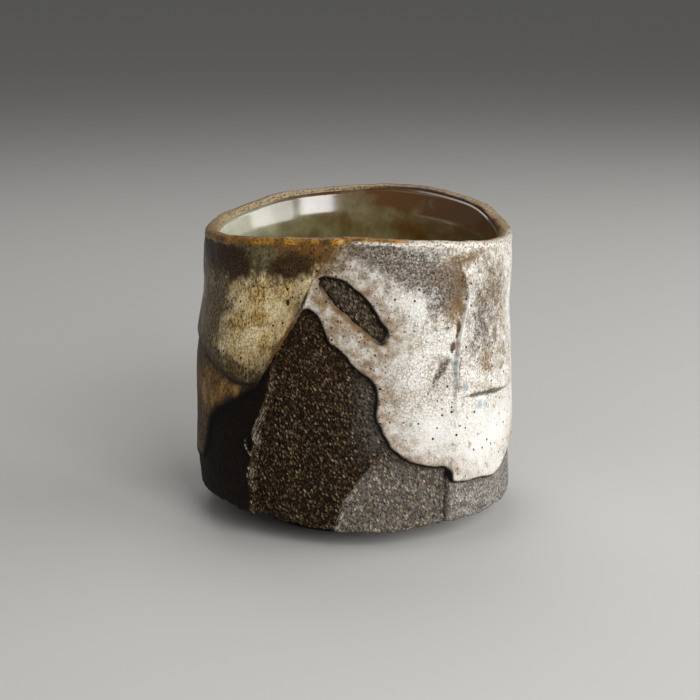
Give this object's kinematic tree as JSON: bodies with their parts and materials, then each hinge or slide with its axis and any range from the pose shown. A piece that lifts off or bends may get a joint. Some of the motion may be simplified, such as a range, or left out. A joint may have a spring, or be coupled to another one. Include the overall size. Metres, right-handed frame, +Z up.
{
  "type": "guinomi sake cup",
  "caption": "Small handmade stoneware sake cup with a carved, bare clay front, poured white and cream glaze, an iron-brown lip and a low foot ring.",
  "frame": {"origin": "on the table under the cup, at the middle of its outline seen from above", "axes": "+Z up along the cup's axis, -Y out of the carved front, +X to its right as seen from the front"},
  "size_m": [0.0642, 0.0628, 0.0621],
  "materials": {
    "bare_clay": "matte, coarse dark stoneware with grit",
    "foot_clay": "matte, dark stoneware",
    "cream_glaze": "satin, crackled cream glaze",
    "white_glaze": "satin, crackled white glaze with pinholes",
    "thin_glaze": "satin, thin tan glaze",
    "iron_glaze": "semi-gloss, iron brown",
    "olive_glaze": "gloss, olive grey"
  },
  "bodies": {
    "root": {"clay_body": "bare_clay", "foot_ring": "foot_clay", "left_glaze": "cream_glaze", "right_glaze": "white_glaze", "skirt_glaze": "thin_glaze", "rim_glaze": "iron_glaze", "liner_glaze": "olive_glaze"}
  },
  "joints": []
}
